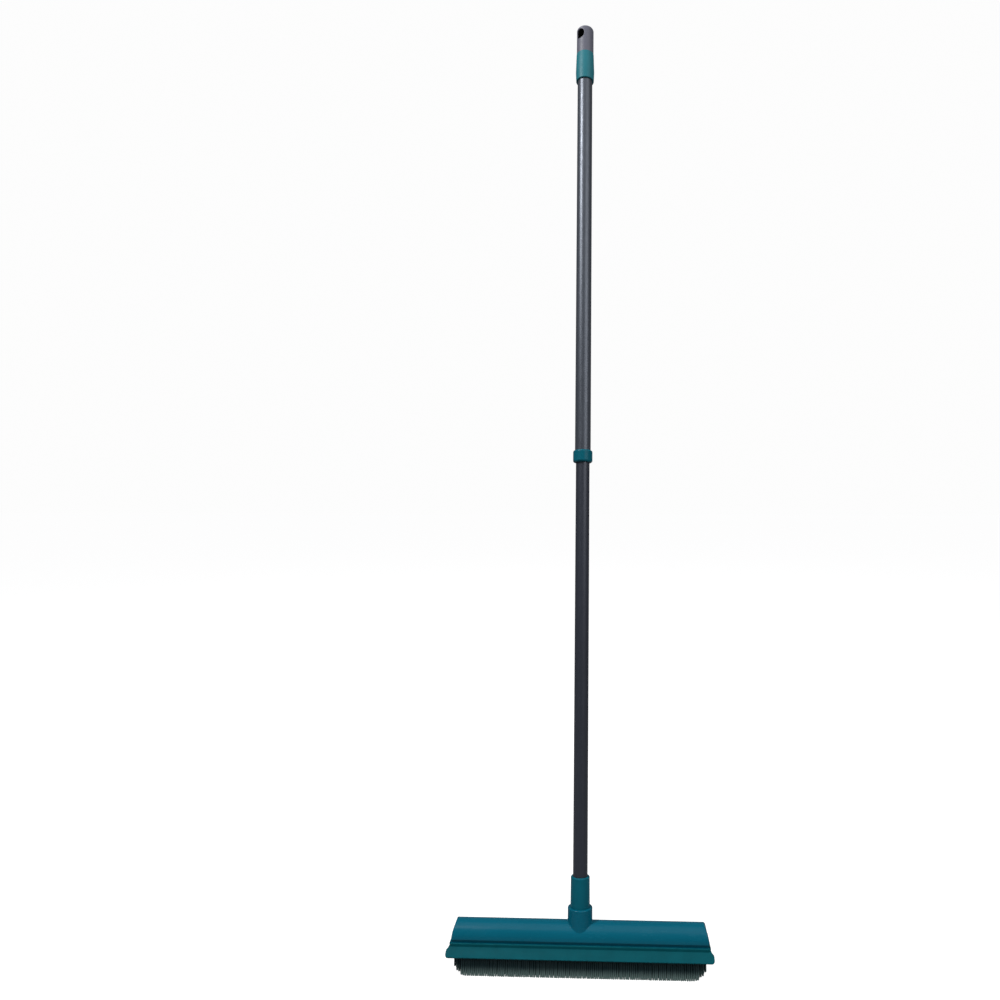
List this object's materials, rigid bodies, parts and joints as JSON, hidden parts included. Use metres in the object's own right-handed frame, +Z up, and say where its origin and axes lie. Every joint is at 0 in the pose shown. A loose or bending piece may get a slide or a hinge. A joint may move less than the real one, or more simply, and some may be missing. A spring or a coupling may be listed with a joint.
{
  "type": "carpet broom",
  "caption": "Rubber carpet broom: a long head with short soft bristles and a squeegee blade under a half-round cover, on a leaning telescopic twist-lock pole with a hanging eye.",
  "frame": {"origin": "on the floor under the middle of the head, on the plane of the bristle tips", "axes": "+X along the head, -Y the way the squeegee blade faces, +Z up; the pole leans towards +Y"},
  "size_m": [0.3364, 0.2207, 1.3121],
  "materials": {
    "cover_plastic": "gloss",
    "inner_plastic": "matte",
    "sole_rubber": "satin",
    "bristle_rubber": "satin",
    "adapter_plastic": "satin",
    "lower_steel": "satin",
    "upper_steel": "satin",
    "ring_plastic": "satin",
    "cap_plastic": "satin"
  },
  "bodies": {
    "head": {"head_cover": "cover_plastic", "sole_stiffener": "inner_plastic", "rubber_sole": "sole_rubber", "bristle_field": "bristle_rubber"},
    "lower_pole": {"pole_adapter": "adapter_plastic", "lower_tube": "lower_steel", "lock_plug": "inner_plastic"},
    "expander": {"lock_sleeve": "inner_plastic"},
    "upper_pole": {"upper_tube": "upper_steel", "guide_collar": "adapter_plastic", "top_ring": "ring_plastic", "hanging_cap": "cap_plastic"}
  },
  "joints": [
    {"name": "pole_unscrew", "type": "slide", "parent": "head", "child": "lower_pole", "axis": [0, 0.1392, 0.9903], "range_m": [0, 0.045]},
    {"name": "twist_lock", "type": "hinge", "parent": "lower_pole", "child": "expander", "pos_m": [0, 0, 0.0396], "axis": [0, 0.1392, 0.9903], "range_deg": [0, 180]},
    {"name": "telescope", "type": "slide", "parent": "expander", "child": "upper_pole", "axis": [0, 0.1392, 0.9903], "range_m": [-0.5, 0]}
  ]
}
